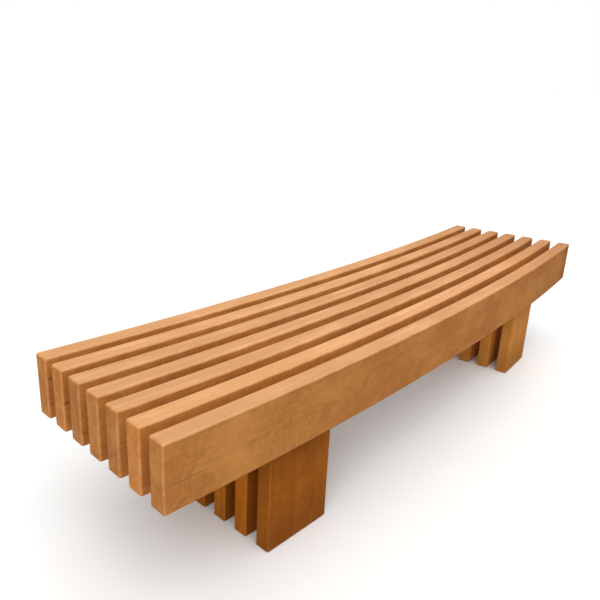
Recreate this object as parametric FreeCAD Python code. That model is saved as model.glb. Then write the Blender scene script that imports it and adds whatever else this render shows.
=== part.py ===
import FreeCAD, Part
import math
import os

# Backless slatted bench, curved in plan.  All sizes in millimetres.
# Z is up from the ground, X runs along the bench and -Y is its outer, convex front.
# The origin is on the ground under the middle of the bench's outline.

# Seat: beams on edge, each cut to an arc about one shared vertical axis.
seat_height = 450.0
beam_count = 7
beam_thickness = 47.0
beam_gap = 32.0
beam_depth = 157.0
middle_radius = 11800.0
middle_length = 2204.0
beam_arris_radius = 6.0

# Legs: blades on edge in the gaps between the beams, at two stations.
station_distance = 690.0
blade_width = 209.0
blade_thickness = 42.0
blade_arris_radius = 3.0
tongue_height = 110.0
tongue_clearance = 0.25

# Foot pads, let into the end grain of each blade.
pad_thickness = 5.0
pad_recess = 3.0
pad_margin = 4.0
pad_fit = 0.2
pad_screw_spacing = 130.0
screw_shank_radius = 2.25
screw_head_radius = 4.25
screw_head_height = 2.6
screw_length = 40.0
screw_sink = 0.6
screw_fit = 0.15

# Tie rods that clamp the beams on the blades, and the rod at mid-span.
rod_radius = 6.0
rod_fit = 0.5
thread_fit = 0.1
rod_drop = 105.0
rod_half_spacing = 60.0
rod_past_barrel = 5.0
barrel_radius = 8.0
barrel_length = 24.0
barrel_fit = 0.2
barrel_plug_length = 15.0
counterbore_radius = 16.0
counterbore_depth = 21.0
washer_radius = 14.0
washer_thickness = 2.5
nut_across_flats = 19.0
nut_thickness = 10.0
rod_past_nut = 3.0
cover_plug_thickness = 5.0
cover_plug_fit = 0.1
spacer_radius = 22.5
spacer_fit = 0.1

# Values worked out from the dimensions above.
pitch = beam_thickness + beam_gap
gap_count = beam_count - 1
beam_bottom = seat_height - beam_depth
rod_height = seat_height - rod_drop
half_angle = middle_length / 2 / middle_radius
station_angle = station_distance / middle_radius
front_face_radius = middle_radius + (beam_count - 1) / 2 * pitch + beam_thickness / 2
back_face_radius = middle_radius - (beam_count - 1) / 2 * pitch - beam_thickness / 2
arc_centre_y = (front_face_radius + back_face_radius * math.cos(half_angle)) / 2
front_beam_radius = front_face_radius - beam_thickness / 2
rod_front_radius = front_beam_radius + barrel_radius + rod_past_barrel
counterbore_floor_radius = back_face_radius + counterbore_depth
nut_face_radius = counterbore_floor_radius - washer_thickness
rod_back_radius = nut_face_radius - nut_thickness - rod_past_nut
blade_bottom = pad_thickness - pad_recess
pad_screw_bottom = screw_sink
pad_screw_top = screw_length + screw_sink

along_y = FreeCAD.Vector(0, 1, 0)
up = FreeCAD.Vector(0, 0, 1)


def beam_radius(number):
    """Radius of a beam's centre line; beam 1 is the front one."""
    return middle_radius + ((beam_count + 1) / 2 - number) * pitch


def gap_radius(number):
    """Radius of the middle of a gap; gap 1 lies behind beam 1."""
    return beam_radius(number) - pitch / 2


def at_radius(radius):
    """Y of a point on the bench's middle plane, at a radius from the arc's axis."""
    return arc_centre_y - radius


def turned(shape, angle):
    """Move a shape made on the middle plane round the arc by an angle in radians."""
    copy = shape.copy()
    copy.rotate(FreeCAD.Vector(0, arc_centre_y, 0), up, math.degrees(angle))
    return copy


def arc_block(radius, thickness, half_sweep, bottom, top):
    """Block between two concentric arcs and two radial ends, centred on x = 0."""

    def corner(corner_radius, angle):
        x = corner_radius * math.sin(angle)
        y = arc_centre_y - corner_radius * math.cos(angle)
        return FreeCAD.Vector(x, y, bottom)

    outer = radius + thickness / 2
    inner = radius - thickness / 2
    front = Part.Arc(corner(outer, -half_sweep), corner(outer, 0), corner(outer, half_sweep))
    back = Part.Arc(corner(inner, -half_sweep), corner(inner, 0), corner(inner, half_sweep))
    left = Part.makeLine(corner(outer, -half_sweep), corner(inner, -half_sweep))
    right = Part.makeLine(corner(outer, half_sweep), corner(inner, half_sweep))
    outline = Part.Wire([front.toShape(), right, back.toShape(), left])
    return Part.Face(outline).extrude(FreeCAD.Vector(0, 0, top - bottom))


def upright_edges(shape):
    """The edges of a block that run straight up."""
    edges = []
    for edge in shape.Edges:
        rise = abs(edge.Vertexes[0].Z - edge.Vertexes[-1].Z)
        if rise > 1:
            edges.append(edge)
    return edges


def rod_cylinder(radius, x, from_radius, to_radius):
    """Cylinder along a tie rod's axis, between two radii from the arc's axis."""
    start = FreeCAD.Vector(x, at_radius(from_radius), rod_height)
    return Part.makeCylinder(radius, from_radius - to_radius, start, along_y)


def upright_cylinder(radius, x, y, bottom, top):
    return Part.makeCylinder(radius, top - bottom, FreeCAD.Vector(x, y, bottom), up)


def tie_rod_places():
    """Every tie rod, as the angle of its frame and its x in that frame."""
    places = []
    for side in (-1, 1):
        for rod_side in (-1, 1):
            places.append((side * station_angle, rod_side * rod_half_spacing))
    places.append((0.0, 0.0))
    return places


def at_every_rod(make_piece):
    """One piece per tie rod, made in the rod's own frame and turned into place."""
    return [turned(make_piece(x), angle) for angle, x in tie_rod_places()]


# Seat beams

def tie_rod_hole(x):
    """Clearance hole for one rod: blind in the front beam, through all the others."""
    return rod_cylinder(rod_radius + rod_fit, x, rod_front_radius, back_face_radius)


def barrel_hole(x):
    """Hole for a barrel nut, bored up from the front beam's underside."""
    top = rod_height + barrel_length / 2
    return upright_cylinder(barrel_radius + barrel_fit, x, at_radius(front_beam_radius), beam_bottom, top)


def nut_counterbore(x):
    return rod_cylinder(counterbore_radius, x, counterbore_floor_radius, back_face_radius - pitch)


def seat_beam(number):
    """One beam, rounded on every arris and bored for the tie rods."""
    block = arc_block(beam_radius(number), beam_thickness, half_angle, beam_bottom, seat_height)
    beam = block.makeFillet(beam_arris_radius, block.Edges)
    cuts = at_every_rod(tie_rod_hole)
    if number == 1:
        cuts += at_every_rod(barrel_hole)
    if number == beam_count:
        cuts += at_every_rod(nut_counterbore)
    return beam.cut(Part.makeCompound(cuts))


# Legs and feet

def leg_blade(number):
    """One leg: a shouldered blade whose tongue stands between two beams."""
    radius = gap_radius(number)
    half_sweep = blade_width / 2 / radius
    blade = arc_block(radius, blade_thickness, half_sweep, blade_bottom, beam_bottom)
    blade = blade.makeFillet(blade_arris_radius, upright_edges(blade))
    tongue_thickness = beam_gap - 2 * tongue_clearance
    tongue = arc_block(radius, tongue_thickness, half_sweep, beam_bottom, beam_bottom + tongue_height)
    leg = blade.fuse(tongue).removeSplitter()
    for x in (-rod_half_spacing, rod_half_spacing):
        leg = leg.cut(rod_cylinder(rod_radius + rod_fit, x, radius + pitch / 2, radius - pitch / 2))
    recess_sweep = (blade_width / 2 - pad_margin + pad_fit) / radius
    recess_thickness = blade_thickness - 2 * (pad_margin - pad_fit)
    leg = leg.cut(arc_block(radius, recess_thickness, recess_sweep, blade_bottom, pad_thickness))
    for x in (-pad_screw_spacing / 2, pad_screw_spacing / 2):
        leg = leg.cut(pad_screw_solid(x, radius, screw_fit))
    return leg


def foot_pad(number):
    """Plastic pad under one blade, countersunk from below for its two screws."""
    radius = gap_radius(number)
    half_sweep = (blade_width / 2 - pad_margin) / radius
    pad = arc_block(radius, blade_thickness - 2 * pad_margin, half_sweep, 0, pad_thickness)
    for x in (-pad_screw_spacing / 2, pad_screw_spacing / 2):
        pad = pad.cut(pad_screw_solid(x, radius, screw_fit))
        mouth = upright_cylinder(screw_head_radius + screw_fit, x, at_radius(radius), 0, pad_screw_bottom)
        pad = pad.cut(mouth)
    return pad


def pad_screw_solid(x, radius, fit):
    """Countersunk screw, point up; fit widens it into the hole that it needs."""
    y = at_radius(radius)
    base = FreeCAD.Vector(x, y, pad_screw_bottom)
    head_radius = screw_head_radius + fit
    shank_radius = screw_shank_radius + fit
    head = Part.makeCone(head_radius, shank_radius, screw_head_height, base, up)
    point_height = 2 * screw_shank_radius
    shank_top = pad_screw_top - point_height
    shank = upright_cylinder(shank_radius, x, y, pad_screw_bottom + screw_head_height, shank_top)
    point_base = FreeCAD.Vector(x, y, shank_top)
    point = Part.makeCone(shank_radius, fit + screw_fit, point_height + fit, point_base, up)
    return head.fuse([shank, point]).removeSplitter()


def pad_screws():
    screws = []
    for number in range(1, gap_count + 1):
        for side in (-1, 1):
            for x in (-pad_screw_spacing / 2, pad_screw_spacing / 2):
                screw = pad_screw_solid(x, gap_radius(number), 0)
                screws.append(turned(screw, side * station_angle))
    return screws


# Tie rods and their hardware

def tie_rod(x):
    return rod_cylinder(rod_radius, x, rod_front_radius, rod_back_radius)


def barrel_nut(x):
    """Round cross nut that a tie rod screws into, inside the front beam."""
    bottom = rod_height - barrel_length / 2
    top = rod_height + barrel_length / 2
    body = upright_cylinder(barrel_radius, x, at_radius(front_beam_radius), bottom, top)
    thread = rod_cylinder(rod_radius + thread_fit, x, front_face_radius, front_face_radius - beam_thickness)
    return body.cut(thread)


def barrel_hole_plug(x):
    top = beam_bottom + barrel_plug_length
    return upright_cylinder(barrel_radius, x, at_radius(front_beam_radius), beam_bottom, top)


def rod_washer(x):
    disc = rod_cylinder(washer_radius, x, counterbore_floor_radius, nut_face_radius)
    bore = rod_cylinder(rod_radius + rod_fit, x, counterbore_floor_radius, nut_face_radius)
    return disc.cut(bore)


def rod_nut(x):
    """Hexagon nut at the back end of a tie rod."""
    corner_distance = nut_across_flats / 2 / math.cos(math.pi / 6)
    corners = []
    for step in range(7):
        turn = step * math.pi / 3
        across = x + corner_distance * math.cos(turn)
        height = rod_height + corner_distance * math.sin(turn)
        corners.append(FreeCAD.Vector(across, at_radius(nut_face_radius), height))
    prism = Part.Face(Part.makePolygon(corners)).extrude(FreeCAD.Vector(0, nut_thickness, 0))
    return prism.cut(rod_cylinder(rod_radius + thread_fit, x, nut_face_radius, rod_back_radius))


def cover_plug(x):
    """Timber disc that closes a nut's counterbore, flush with the back beam."""
    radius = counterbore_radius - cover_plug_fit
    return rod_cylinder(radius, x, back_face_radius + cover_plug_thickness, back_face_radius + cover_plug_fit)


def mid_spacers():
    """Tubes that keep the gaps open at mid-span, threaded on the middle rod."""
    spacers = []
    half_length = beam_gap / 2 - spacer_fit
    for number in range(1, gap_count + 1):
        start = gap_radius(number) + half_length
        end = gap_radius(number) - half_length
        tube = rod_cylinder(spacer_radius, 0, start, end)
        spacers.append(tube.cut(rod_cylinder(rod_radius + rod_fit, 0, start, end)))
    return spacers


# Write every node.

def write_node(name, solids):
    shape = solids[0] if len(solids) == 1 else Part.makeCompound(solids)
    shape.exportStep("parts/" + name + ".step")


os.makedirs("parts", exist_ok=True)

place_names = {1: "_front", beam_count: "_back"}
for beam_number in range(1, beam_count + 1):
    beam_name = "seat_beam_" + str(beam_number) + place_names.get(beam_number, "")
    write_node(beam_name, [seat_beam(beam_number)])

for side_name, side_angle in (("left", -station_angle), ("right", station_angle)):
    for gap_number in range(1, gap_count + 1):
        ending = side_name + "_" + str(gap_number)
        write_node("leg_blade_" + ending, [turned(leg_blade(gap_number), side_angle)])
        write_node("foot_pad_" + ending, [turned(foot_pad(gap_number), side_angle)])

write_node("foot_pad_screws", pad_screws())
write_node("tie_rods", at_every_rod(tie_rod))
write_node("barrel_nuts", at_every_rod(barrel_nut))
write_node("barrel_hole_plugs", at_every_rod(barrel_hole_plug))
write_node("tie_rod_washers", at_every_rod(rod_washer))
write_node("tie_rod_nuts", at_every_rod(rod_nut))
write_node("tie_rod_cover_plugs", at_every_rod(cover_plug))
write_node("mid_span_spacers", mid_spacers())
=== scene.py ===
import math

import bpy
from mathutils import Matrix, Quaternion, Vector


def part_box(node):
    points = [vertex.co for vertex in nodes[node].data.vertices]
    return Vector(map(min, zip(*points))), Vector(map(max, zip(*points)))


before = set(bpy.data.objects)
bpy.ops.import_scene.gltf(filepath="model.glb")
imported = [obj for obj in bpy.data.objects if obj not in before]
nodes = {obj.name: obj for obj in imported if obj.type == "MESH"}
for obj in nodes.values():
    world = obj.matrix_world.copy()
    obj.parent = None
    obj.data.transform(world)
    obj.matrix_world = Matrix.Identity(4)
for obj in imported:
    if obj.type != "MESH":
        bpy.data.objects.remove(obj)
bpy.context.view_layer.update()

# The frame's own sizes, in metres. Everything follows an arc about one upright axis behind the bench.
BEAM_COUNT = 7
BEAM_THICKNESS = 0.047
PITCH = 0.079
MIDDLE_RADIUS = 11.8
HALF_LENGTH = 1.102
BLADE_WIDTH = 0.209
BLADE_THICKNESS = 0.042
front_face_radius = MIDDLE_RADIUS + 3 * PITCH + BEAM_THICKNESS / 2
arc_centre_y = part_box("seat_beam_1_front")[0].y + front_face_radius
seat_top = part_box("seat_beam_1_front")[1].z
beam_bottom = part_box("seat_beam_1_front")[0].z
beam_middle = (seat_top + beam_bottom) / 2
beam_depth = seat_top - beam_bottom


# Small helpers for building node trees.

class Tree:
    """A material's node tree, with one short method for each kind of node used here."""

    def __init__(self, name):
        self.material = bpy.data.materials.new(name)
        self.material.use_nodes = True
        self.nodes = self.material.node_tree.nodes
        self.links = self.material.node_tree.links
        self.shader = self.nodes["Principled BSDF"]

    def put(self, socket, value):
        """Link a socket to another socket, or set it to a value."""
        if isinstance(value, bpy.types.NodeSocket):
            self.links.new(value, socket)
        else:
            socket.default_value = value

    def maths(self, operation, first, second=None, third=None):
        """One of Blender's maths operations on sockets or numbers."""
        node = self.nodes.new("ShaderNodeMath")
        node.operation = operation
        for socket, value in zip(node.inputs, (first, second, third)):
            if value is not None:
                self.put(socket, value)
        return node.outputs[0]

    def vector(self, x, y, z):
        """A place from its three numbers."""
        node = self.nodes.new("ShaderNodeCombineXYZ")
        for socket, value in zip(node.inputs, (x, y, z)):
            self.put(socket, value)
        return node.outputs[0]

    def scaled(self, place, x, y, z):
        """A place stretched by three factors, for grain that runs one way."""
        node = self.nodes.new("ShaderNodeVectorMath")
        node.operation = "MULTIPLY"
        self.put(node.inputs[0], place)
        node.inputs[1].default_value = (x, y, z)
        return node.outputs[0]

    def noise(self, place, detail=2.0, roughness=0.5, distortion=0.0):
        """Noise from 0 to 1 over a place, mostly near 0.5."""
        node = self.nodes.new("ShaderNodeTexNoise")
        self.put(node.inputs["Vector"], place)
        node.inputs["Scale"].default_value = 1.0
        node.inputs["Detail"].default_value = detail
        node.inputs["Roughness"].default_value = roughness
        node.inputs["Distortion"].default_value = distortion
        return node.outputs["Fac"]

    def line_noise(self, value, detail=1.0, roughness=0.5):
        """Noise along one number, which makes bands."""
        node = self.nodes.new("ShaderNodeTexNoise")
        node.noise_dimensions = "1D"
        self.put(node.inputs["W"], value)
        node.inputs["Scale"].default_value = 1.0
        node.inputs["Detail"].default_value = detail
        node.inputs["Roughness"].default_value = roughness
        return node.outputs["Fac"]

    def ramp(self, value, low, high, to_low=0.0, to_high=1.0):
        """Value smoothed from low..high into to_low..to_high."""
        node = self.nodes.new("ShaderNodeMapRange")
        node.interpolation_type = "SMOOTHSTEP"
        self.put(node.inputs["Value"], value)
        node.inputs["From Min"].default_value = low
        node.inputs["From Max"].default_value = high
        node.inputs["To Min"].default_value = to_low
        node.inputs["To Max"].default_value = to_high
        return node.outputs["Result"]

    def mix(self, share, first, second):
        """First where share is 0, second where it is 1."""
        node = self.nodes.new("ShaderNodeMix")
        node.data_type = "RGBA"
        self.put(node.inputs["Factor"], share)
        self.put(node.inputs[6], first)
        self.put(node.inputs[7], second)
        return node.outputs[2]

    def bump(self, height, strength, distance):
        """Tilt the shader's normal as a height would."""
        node = self.nodes.new("ShaderNodeBump")
        node.inputs["Strength"].default_value = strength
        node.inputs["Distance"].default_value = distance
        self.put(node.inputs["Height"], height)
        self.links.new(node.outputs["Normal"], self.shader.inputs["Normal"])

    def object_place(self):
        """The x, y and z of the point, in the frame."""
        place = self.nodes.new("ShaderNodeTexCoord")
        split = self.nodes.new("ShaderNodeSeparateXYZ")
        self.links.new(place.outputs["Object"], split.inputs[0])
        return split.outputs

    def total(self, *values):
        """The sum of two or more values."""
        result = values[0]
        for value in values[1:]:
            result = self.maths("ADD", result, value)
        return result

    def times(self, first, second):
        """The product of two values."""
        return self.maths("MULTIPLY", first, second)

    def rest_of(self, share):
        """What share leaves of 1."""
        return self.maths("SUBTRACT", 1.0, share)

    def sliding(self, share, at_none, at_full):
        """A number that goes from at_none to at_full as share goes from 0 to 1."""
        return self.maths("MULTIPLY_ADD", share, at_full - at_none, at_none)


def colour(red, green, blue):
    """A colour from its display values of 0 to 255, as Blender's linear numbers."""
    linear = []
    for value in (red, green, blue):
        share = value / 255
        linear.append(share / 12.92 if share <= 0.04045 else ((share + 0.055) / 1.055) ** 2.4)
    return (*linear, 1.0)


def toned(tone, paleness):
    """A colour made paler or, below 1, darker."""
    return (*(channel * paleness for channel in tone[:3]), 1.0)


def bench_place(tree, radius, angle):
    """Position along the arc, outwards across it, and height, measured from a point on it."""
    x, y, z = tree.object_place()
    inwards = tree.maths("SUBTRACT", arc_centre_y, y)
    turn = tree.maths("ARCTAN2", x, inwards)
    along = tree.times(tree.maths("SUBTRACT", turn, angle), radius)
    distance = tree.maths("SQRT", tree.total(tree.times(x, x), tree.times(inwards, inwards)))
    across = tree.maths("SUBTRACT", distance, radius)
    return along, across, z


# Timber

# How far the streaks of each kind of timber reach across the grain, in its two directions.
BEAM_STREAKS = (0.009, 0.13)
BLADE_STREAKS = (0.012, 0.016)
PLUG_STREAKS = (0.004, 0.01)
# How plain the blades and plugs are, between the figured sides of a beam, 0, and its streaked top, 1.
BLADE_PLAINNESS = 0.4
FLECK_SLOPE = math.radians(50)
FLECK_COLOUR = colour(84, 42, 12)
WOOD_SHINE = 0.15


def shifted_place(tree, grain, across, depth, seed):
    """A place moved by a seed, so that no two timbers have the same pattern."""
    return tree.vector(
        tree.total(grain, 3.7 * seed), tree.total(across, 0.31 * seed), tree.total(depth, 0.17 * seed)
    )


def wavy_rings(tree, place, grain, depth, clouds, plain):
    """Wavy lines across the grain, stronger in some patches, about 0."""
    swirl = tree.noise(tree.scaled(place, 5.0, 6.0, 6.0), 2.0, 0.5, 0.3)
    age = tree.total(tree.times(grain, 0.8), tree.times(depth, -0.3), tree.times(swirl, 0.22))
    rings = tree.line_noise(tree.times(age, 120.0), 1.0, 0.6)
    figured = tree.times(tree.ramp(clouds, 0.38, 0.62, 0.25, 1.0), tree.rest_of(plain))
    return tree.times(tree.maths("SUBTRACT", rings, 0.5), tree.times(figured, 0.22))


def lengthwise_streaks(tree, place, grain, across, depth, seed, reach):
    """Long streaks that wander a little, as wide as reach says."""
    bend = tree.noise(tree.scaled(place, 3.0, 8.0, 8.0), 1.0)
    streak_place = tree.vector(
        tree.times(grain, 2.6),
        tree.times(tree.total(across, tree.times(bend, 0.03), seed), 1 / reach[0]),
        tree.times(depth, 1 / reach[1]),
    )
    return tree.noise(streak_place, 2.0, 0.45)


def slanted_flecks(tree, grain, across, depth, seed):
    """A share that is above 0 in short flecks, which slant across the grain."""
    fleck_along = tree.total(
        tree.times(grain, math.cos(FLECK_SLOPE)), tree.times(depth, math.sin(FLECK_SLOPE)), seed
    )
    fleck_up = tree.total(tree.times(depth, math.cos(FLECK_SLOPE)), tree.times(grain, -math.sin(FLECK_SLOPE)))
    flecks = tree.noise(tree.scaled(tree.vector(fleck_along, across, fleck_up), 22.0, 60.0, 115.0), 2.0)
    return tree.ramp(flecks, 0.54, 0.76)


def add_wood(tree, grain, across, depth, seed, light, dark, streak_reach, plain):
    """Colour, roughness and bump of planed and oiled hardwood; returns the colour.

    grain runs with the fibres, and across and depth are the board's other two axes.
    streak_reach is a streak's reach in those two. plain is 0 where the wood has a wavy
    figure and flecks, and 1 where it has mostly lengthwise streaks. A noise's place is
    scaled by about how many of its marks fit in a metre along each axis.
    """
    place = shifted_place(tree, grain, across, depth, seed)
    clouds = tree.noise(tree.scaled(place, 5.0, 14.0, 11.0), 2.0)
    mottle = tree.noise(tree.scaled(place, 32.0, 70.0, 50.0), 3.0, 0.6, 0.6)
    lines = tree.noise(tree.scaled(place, 2.4, 260.0, 230.0), 3.0, 0.6, 0.2)
    fibres = tree.noise(tree.scaled(place, 30.0, 700.0, 700.0), 2.0, 0.6)
    streaks = lengthwise_streaks(tree, place, grain, across, depth, seed, streak_reach)
    tone = tree.total(
        wavy_rings(tree, place, grain, depth, clouds, plain),
        tree.times(streaks, tree.sliding(plain, 0.1, 0.32)),
        tree.times(clouds, 0.4),
        tree.times(mottle, tree.sliding(plain, 0.28, 0.13)),
        tree.times(lines, tree.sliding(plain, 0.15, 0.18)),
        tree.times(fibres, 0.1),
    )
    wood = tree.mix(tree.ramp(tone, 0.36, 0.64), light, dark)
    flecks = slanted_flecks(tree, grain, across, depth, seed)
    fleck_share = tree.times(flecks, tree.sliding(plain, 0.2, 0.06))
    wood = tree.mix(fleck_share, wood, tree.mix(0.4, dark, FLECK_COLOUR))

    tree.put(tree.shader.inputs["Roughness"], tree.total(0.6, tree.times(fibres, 0.2)))
    tree.shader.inputs["Specular IOR Level"].default_value = WOOD_SHINE
    height = tree.total(
        tree.times(fibres, 0.4), tree.times(lines, 0.5), tree.times(flecks, -0.2), tree.times(mottle, 0.5)
    )
    tree.bump(height, 0.25, 0.0008)
    return wood


def nearness(tree, value, limit, reach):
    """1 where value is at limit or past it on either side, falling to 0 over reach."""
    return tree.ramp(tree.maths("ABSOLUTE", value), limit - reach, limit)


# The light and the dark of the wood on a beam's long sides, its top and its ends. The top's paler tones are
# partly weathering and partly painted light that makes the top lighter than the sides.
SIDE_TONES = (colour(210, 144, 76), colour(184, 117, 56))
TOP_TONES = (colour(233, 178, 126), colour(206, 150, 99))
END_TONES = (colour(208, 143, 79), colour(180, 114, 55))
# How pale each beam's timber is along its length and at its ends, from the front beam to the back one.
BEAM_PALENESS = (0.98, 1.06, 0.96, 0.98, 0.95, 1.01, 1.0)
END_PALENESS = (0.98, 1.25, 0.92, 0.99, 0.88, 1.12, 1.0)
# The mark of a face is full this far short of it. It fades to nothing over an arris's width on the
# long faces, and over END_REACH at the ends.
FACE_MARGIN = 0.001
ARRIS = 0.005
END_REACH = 0.004
# How far below the seat's top its paler tone, partly weathering and partly painted light, starts and is full,
# and how much that wavers.
TOP_TONE_START = 0.008
TOP_TONE_FULL = 0.003
TOP_TONE_WAVER = 0.008
# How far from the ends the checks reach.
CHECK_REACH = 0.16
# Where along a beam the painted shade of its right end starts, and how long its darkest tip is.
SHADE_START = 0.2
TIP_LENGTH = 0.14
CHECK_COLOUR = colour(92, 50, 20)
# The pale of the arrises: partly wear, partly a painted highlight.
RUBBED_AND_HIGHLIGHT_COLOUR = colour(238, 180, 124)
# The colour of the painted shade towards the right end.
SHADE_COLOUR = colour(156, 86, 22)


def beam_tones(tree, number, top, end):
    """The light and the dark of a beam's timber, by face."""
    paleness = BEAM_PALENESS[number - 1]
    end_paleness = END_PALENESS[number - 1]
    tones = []
    for side_tone, top_tone, end_tone in zip(SIDE_TONES, TOP_TONES, END_TONES):
        long_tone = tree.mix(top, toned(side_tone, paleness), toned(top_tone, paleness))
        tones.append(tree.mix(end, long_tone, toned(end_tone, end_paleness)))
    return tones


def thin_checks(tree, number, along, across, z):
    """A share that is above 0 in a few thin lengthwise cracks."""
    place = tree.vector(tree.total(along, 1.9 * number), across, tree.total(z, 0.53 * number))
    checks = tree.noise(tree.scaled(place, 7.0, 25.0, 170.0), 0.0)
    return tree.ramp(checks, 0.73, 0.78)


def right_end_shade(tree, along, half_arc, top):
    """How much painted shade darkens the timber towards the bench's right end."""
    top_shade = tree.ramp(along, SHADE_START, half_arc, 0.0, 0.4)
    tip_shade = tree.ramp(along, half_arc - TIP_LENGTH, half_arc, 0.0, 0.4)
    side_shade = tree.total(tree.ramp(along, SHADE_START, half_arc, 0.0, 0.26), tip_shade)
    return tree.total(tree.times(top, top_shade), tree.times(tree.rest_of(top), side_shade))


def beam_material(number):
    """A seat beam: paler and streaked on its top, partly from weathering and partly from painted light; pale
    along its arrises, partly from wear and partly from a painted highlight; and darkened by painted shade
    towards its right end.
    """
    tree = Tree("seat_timber_" + str(number))
    radius = MIDDLE_RADIUS + ((BEAM_COUNT + 1) / 2 - number) * PITCH
    half_arc = radius * HALF_LENGTH / MIDDLE_RADIUS
    along, across, z = bench_place(tree, radius, 0.0)
    depth = tree.maths("SUBTRACT", z, beam_middle)
    patchiness = tree.noise(tree.scaled(tree.vector(along, across, z), 30.0, 60.0, 60.0), 2.0)
    patchy_z = tree.total(z, tree.times(tree.maths("SUBTRACT", patchiness, 0.5), TOP_TONE_WAVER))
    # The top's paler tone: partly weathering, partly painted light.
    top = tree.ramp(patchy_z, seat_top - TOP_TONE_START, seat_top - TOP_TONE_FULL)
    end = nearness(tree, along, half_arc - FACE_MARGIN, END_REACH)
    light, dark = beam_tones(tree, number, top, end)
    wood = add_wood(tree, along, across, depth, number, light, dark, BEAM_STREAKS, top)

    on_side = tree.rest_of(tree.maths("MAXIMUM", top, end))
    near_end = tree.times(nearness(tree, along, half_arc, CHECK_REACH), on_side)
    checks = tree.times(thin_checks(tree, number, along, across, z), near_end)
    wood = tree.mix(tree.times(checks, 0.45), wood, CHECK_COLOUR)

    side = nearness(tree, across, BEAM_THICKNESS / 2 - FACE_MARGIN, ARRIS)
    edge = nearness(tree, depth, beam_depth / 2 - FACE_MARGIN, ARRIS)
    arris = tree.maths("MAXIMUM", tree.times(end, side), tree.times(edge, tree.total(end, side)))
    # Paler arrises: partly rubbed wear, partly a painted highlight.
    rubbed_and_highlight = tree.times(arris, tree.ramp(patchiness, 0.35, 0.6, 0.15, 0.4))
    wood = tree.mix(rubbed_and_highlight, wood, RUBBED_AND_HIGHLIGHT_COLOUR)
    # Painted shade towards the bench's right end.
    wood = tree.mix(right_end_shade(tree, along, half_arc, top), wood, SHADE_COLOUR)
    tree.put(tree.shader.inputs["Base Color"], wood)
    return tree.material


# The light and the dark of each station's leg timbers.
LEG_TONES = {
    "left": (colour(183, 109, 29), colour(155, 83, 12)),
    "right": (colour(217, 147, 70), colour(195, 125, 51)),
}
# How pale each station's leg timbers are, from the front gap to the back one: on their wide faces and on
# their narrow ones. This is partly the timber's own tone and partly painted light, which brightens narrow
# faces and faces set back in shade between the blades.
LEG_TONE_AND_PAINTED_LIGHT = {
    "left": ((0.95, 0.96), (0.99, 1.5), (1.05, 1.27), (1.06, 1.1), (1.0, 1.0), (1.05, 1.05)),
    "right": ((1.08, 1.02), (1.6, 1.2), (1.5, 1.24), (1.3, 1.2), (1.1, 1.1), (1.05, 1.05)),
}
# What the blades' and the plugs' seeds start from, clear of the beams' 1 to 7.
LEG_SEEDS = {"left": 20, "right": 30}
PLUG_SEED = 50
# Painted shade darkening the blades towards their feet: its height and colour.
FOOT_SHADE_HEIGHT = 0.16
FOOT_SHADE_COLOUR = colour(104, 54, 16)
# The colour of a faint painted highlight on the blades' corners.
CORNER_HIGHLIGHT_COLOUR = colour(224, 156, 84)


def leg_material(side, number):
    """A leg blade: streaked up its length, darkened by painted shade at its foot, with a faint painted
    highlight at its corners.
    """
    ending = side + "_" + str(number)
    tree = Tree("leg_timber_" + ending)
    radius = MIDDLE_RADIUS + ((BEAM_COUNT + 1) / 2 - number - 0.5) * PITCH
    low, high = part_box("leg_blade_" + ending)
    middle = (low + high) / 2
    angle = math.atan2(middle.x, arc_centre_y - middle.y)
    along, across, z = bench_place(tree, radius, angle)
    narrow = nearness(tree, along, BLADE_WIDTH / 2 - FACE_MARGIN, END_REACH)
    # Painted light, along with the timber's tone, lifts faces that sit in shade between the blades.
    wide_tone_and_light, narrow_tone_and_light = LEG_TONE_AND_PAINTED_LIGHT[side][number - 1]
    light, dark = (
        tree.mix(narrow, toned(tone, wide_tone_and_light), toned(tone, narrow_tone_and_light)) for tone in LEG_TONES[side]
    )
    seed = number + LEG_SEEDS[side]
    wood = add_wood(tree, z, across, along, seed, light, dark, BLADE_STREAKS, BLADE_PLAINNESS)
    # Painted shade, darker towards the foot.
    foot_shade = tree.ramp(z, 0.0, FOOT_SHADE_HEIGHT, 0.35, 0.0)
    wood = tree.mix(foot_shade, wood, FOOT_SHADE_COLOUR)
    # A faint painted highlight along the blade's corners.
    corner_highlight = tree.times(
        nearness(tree, along, BLADE_WIDTH / 2, ARRIS), nearness(tree, across, BLADE_THICKNESS / 2, ARRIS)
    )
    wood = tree.mix(tree.times(corner_highlight, 0.06), wood, CORNER_HIGHLIGHT_COLOUR)
    tree.put(tree.shader.inputs["Base Color"], wood)
    return tree.material


def plug_material():
    """Turned plugs of the same timber, a little darker than the beams, with the grain upright."""
    tree = Tree("plug_timber")
    x, y, z = tree.object_place()
    light, dark = colour(188, 122, 58), colour(150, 88, 34)
    wood = add_wood(tree, z, x, y, PLUG_SEED, light, dark, PLUG_STREAKS, BLADE_PLAINNESS)
    tree.put(tree.shader.inputs["Base Color"], wood)
    return tree.material


def steel_material():
    """Turned stainless steel with fine lines and a little tarnish."""
    tree = Tree("stainless_steel")
    x, y, z = tree.object_place()
    place = tree.vector(x, y, z)
    lines = tree.noise(tree.scaled(place, 300.0, 2500.0, 300.0), 2.0)
    tarnish = tree.noise(tree.scaled(place, 60.0, 60.0, 60.0), 3.0)
    metal = tree.mix(tree.ramp(tarnish, 0.35, 0.7), colour(200, 200, 198), colour(150, 146, 140))
    tree.put(tree.shader.inputs["Base Color"], metal)
    tree.shader.inputs["Metallic"].default_value = 1.0
    tree.put(tree.shader.inputs["Roughness"], tree.total(0.24, tree.times(lines, 0.2)))
    tree.bump(lines, 0.2, 0.0002)
    return tree.material


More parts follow.
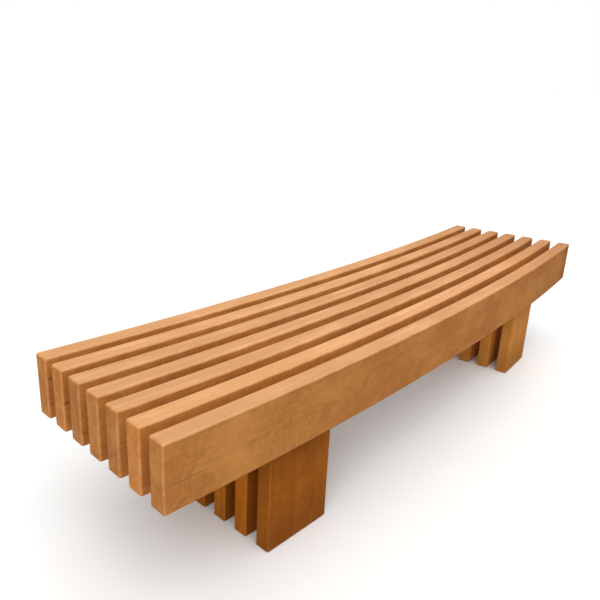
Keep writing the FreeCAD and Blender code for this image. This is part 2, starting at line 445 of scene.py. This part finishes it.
def plastic_material(name, tint, worn):
    """Moulded plastic with a fine grain and scuffs."""
    tree = Tree(name)
    x, y, z = tree.object_place()
    place = tree.vector(x, y, z)
    grain = tree.noise(tree.scaled(place, 1500.0, 1500.0, 1500.0), 1.0)
    scuffs = tree.noise(tree.scaled(place, 40.0, 160.0, 90.0), 3.0, 0.6)
    tree.put(tree.shader.inputs["Base Color"], tree.mix(tree.ramp(scuffs, 0.45, 0.75), tint, worn))
    tree.put(tree.shader.inputs["Roughness"], tree.total(0.45, tree.times(grain, 0.25)))
    tree.bump(grain, 0.2, 0.0002)
    return tree.material


def use_material(node, material):
    """Make a material the only one of a node."""
    slots = nodes[node].data.materials
    slots.clear()
    slots.append(material)


def dress_bench():
    """Give every node of the frame its material."""
    beams = sorted(name for name in nodes if name.startswith("seat_beam"))
    for number, name in enumerate(beams, 1):
        use_material(name, beam_material(number))
    for side in LEG_TONES:
        for number in range(1, BEAM_COUNT):
            use_material("leg_blade_" + side + "_" + str(number), leg_material(side, number))
    steel = steel_material()
    for name in ("foot_pad_screws", "tie_rods", "barrel_nuts", "tie_rod_washers", "tie_rod_nuts"):
        use_material(name, steel)
    plug = plug_material()
    for name in ("barrel_hole_plugs", "tie_rod_cover_plugs"):
        use_material(name, plug)
    foot_plastic = plastic_material("foot_plastic", colour(58, 44, 34), colour(92, 78, 64))
    for name in nodes:
        if name.startswith("foot_pad_left") or name.startswith("foot_pad_right"):
            use_material(name, foot_plastic)
    spacer_plastic = plastic_material("spacer_plastic", colour(46, 42, 38), colour(84, 78, 70))
    use_material("mid_span_spacers", spacer_plastic)


# Stage

FLOOR_HALF_WIDTH = 400.0
# What the world shows to the camera, and how strongly it lights the bench.
WORLD_SEEN = 1.0
WORLD_LIGHT = 0.5


def floor():
    """A wide pale floor under the bench, which throws back less light than it shows to the camera."""
    half = FLOOR_HALF_WIDTH
    corners = [(-half, -half, 0), (half, -half, 0), (half, half, 0), (-half, half, 0)]
    mesh = bpy.data.meshes.new("floor")
    mesh.from_pydata(corners, [], [(0, 1, 2, 3)])
    thing = bpy.data.objects.new("floor", mesh)
    bpy.context.scene.collection.objects.link(thing)
    tree = Tree("floor")
    x, y, z = tree.object_place()
    cloud = tree.noise(tree.scaled(tree.vector(x, y, z), 3.0, 3.0, 3.0), 3.0)
    pale = tree.mix(cloud, colour(247, 247, 246), colour(251, 251, 250))
    seen = tree.nodes.new("ShaderNodeLightPath").outputs["Is Camera Ray"]
    tree.put(tree.shader.inputs["Base Color"], tree.mix(seen, colour(150, 150, 150), pale))
    tree.shader.inputs["Roughness"].default_value = 0.9
    mesh.materials.append(tree.material)


def sun(name, strength, width, direction):
    """A far, wide softbox whose light travels in a direction."""
    data = bpy.data.lights.new(name, "SUN")
    data.energy = strength
    data.angle = math.radians(width)
    thing = bpy.data.objects.new(name, data)
    thing.rotation_mode = "QUATERNION"
    thing.rotation_quaternion = direction.to_track_quat("-Z", "Y")
    bpy.context.scene.collection.objects.link(thing)


def studio():
    """A white world and three wide, soft suns."""
    world = bpy.data.worlds.new("studio")
    world.use_nodes = True
    background = world.node_tree.nodes["Background"]
    seen = world.node_tree.nodes.new("ShaderNodeLightPath")
    strength = world.node_tree.nodes.new("ShaderNodeMapRange")
    strength.inputs["To Min"].default_value = WORLD_LIGHT
    strength.inputs["To Max"].default_value = WORLD_SEEN
    world.node_tree.links.new(seen.outputs["Is Camera Ray"], strength.inputs["Value"])
    world.node_tree.links.new(strength.outputs["Result"], background.inputs["Strength"])
    background.inputs["Color"].default_value = (1.0, 1.0, 1.0, 1.0)
    bpy.context.scene.world = world
    sun("overhead", 1.9, 70, Vector((0.25, 0.3, -0.92)))
    sun("side", 0.9, 40, Vector((0.85, 0.4, -0.35)))
    sun("fill", 0.5, 60, Vector((-0.75, -0.5, -0.4)))
    bpy.context.scene.view_settings.view_transform = "Standard"


CAMERA_PLACE = (-1.746, -1.027, 1.077)
CAMERA_LENS = 38.12
SENSOR_WIDTH = 36.0
# The camera's turn from +Y towards +X, how far it looks down, and how far it leans, in degrees.
HEADING = 51.39
TILT = 19.14
ROLL = 2.87


def camera():
    """The camera that the bench is shown from, off its left front corner and above it."""
    data = bpy.data.cameras.new("camera")
    data.sensor_width = SENSOR_WIDTH
    data.lens = CAMERA_LENS
    thing = bpy.data.objects.new("camera", data)
    thing.location = CAMERA_PLACE
    heading = math.radians(HEADING)
    tilt = math.radians(TILT)
    level = math.cos(tilt)
    forward = Vector((math.sin(heading) * level, math.cos(heading) * level, -math.sin(tilt)))
    thing.rotation_mode = "QUATERNION"
    thing.rotation_quaternion = forward.to_track_quat("-Z", "Y") @ Quaternion((0, 0, 1), math.radians(ROLL))
    bpy.context.scene.collection.objects.link(thing)
    bpy.context.scene.camera = thing


dress_bench()
floor()
studio()
camera()
